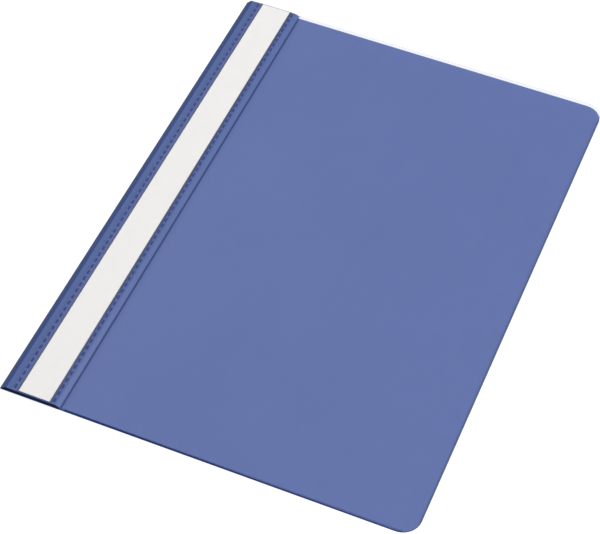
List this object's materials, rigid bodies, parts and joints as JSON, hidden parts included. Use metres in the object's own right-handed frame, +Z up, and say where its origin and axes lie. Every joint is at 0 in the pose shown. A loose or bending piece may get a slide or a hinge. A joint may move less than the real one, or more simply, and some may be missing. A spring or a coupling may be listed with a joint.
{
  "type": "flat file",
  "caption": "A4 flat file with a blue back cover, clear front cover, full-length title label in a welded pocket, and a prong paper fastener inside.",
  "frame": {"origin": "under the middle of the closed file, on the surface it lies on", "axes": "+X from the spine to the open edge, +Y along the spine, +Z up through the closed file"},
  "size_m": [0.22, 0.31, 0.0036],
  "materials": {
    "blue_film": "opaque blue polypropylene film, fine embossed satin",
    "clear_film": "clear polypropylene film, slightly milky, glossy",
    "pocket_weld": "fused film, pressed in short dashes",
    "label_card": "uncoated white card",
    "flap_film": "opaque blue polypropylene film",
    "flap_weld": "fused film, pressed in short dashes",
    "tinplate": "bright tinplate"
  },
  "bodies": {
    "back": {"back_cover": "blue_film", "spine_fold": "blue_film", "binding_flap": "flap_film", "inner_flap_weld": "flap_weld", "outer_flap_weld": "flap_weld", "prong_base": "tinplate", "compressor_bar": "tinplate"},
    "margin": {"front_margin": "blue_film", "label_pocket": "clear_film", "inner_pocket_weld": "pocket_weld", "outer_pocket_weld": "pocket_weld", "cover_crease": "clear_film"},
    "label": {"title_label": "label_card"},
    "cover": {"front_cover": "clear_film"},
    "prong_upper": {"prong_upper": "tinplate"},
    "prong_lower": {"prong_lower": "tinplate"},
    "lock_upper": {"lock_upper": "tinplate"},
    "lock_lower": {"lock_lower": "tinplate"}
  },
  "joints": [
    {"name": "spine_hinge", "type": "hinge", "parent": "back", "child": "margin", "pos_m": [-0.1088, 0, 0.00185], "axis": [0, -1, 0], "range_deg": [0, 178], "deforming": ["spine_fold"]},
    {"name": "cover_crease", "type": "hinge", "parent": "margin", "child": "cover", "pos_m": [-0.0761, 0, 0.00265], "axis": [0, -1, 0], "range_deg": [0, 170], "deforming": ["cover_crease"]},
    {"name": "label_slide", "type": "slide", "parent": "margin", "child": "label", "axis": [0, 1, 0], "range_m": [0, 0.3]},
    {"name": "prong_upper_fold", "type": "hinge", "parent": "back", "child": "prong_upper", "pos_m": [-0.091, 0.04, 0.0013], "axis": [-1, 0, 0], "range_deg": [0, 90]},
    {"name": "prong_lower_fold", "type": "hinge", "parent": "back", "child": "prong_lower", "pos_m": [-0.091, -0.04, 0.0013], "axis": [1, 0, 0], "range_deg": [0, 90]},
    {"name": "lock_upper_slide", "type": "slide", "parent": "back", "child": "lock_upper", "axis": [0, 1, 0], "range_m": [0, 0.01]},
    {"name": "lock_lower_slide", "type": "slide", "parent": "back", "child": "lock_lower", "axis": [0, -1, 0], "range_m": [0, 0.01]}
  ],
  "couplings": [
    {"joint": "prong_upper_fold", "follows": "spine_hinge", "ratio": 0.505},
    {"joint": "prong_lower_fold", "follows": "spine_hinge", "ratio": 0.505}
  ]
}
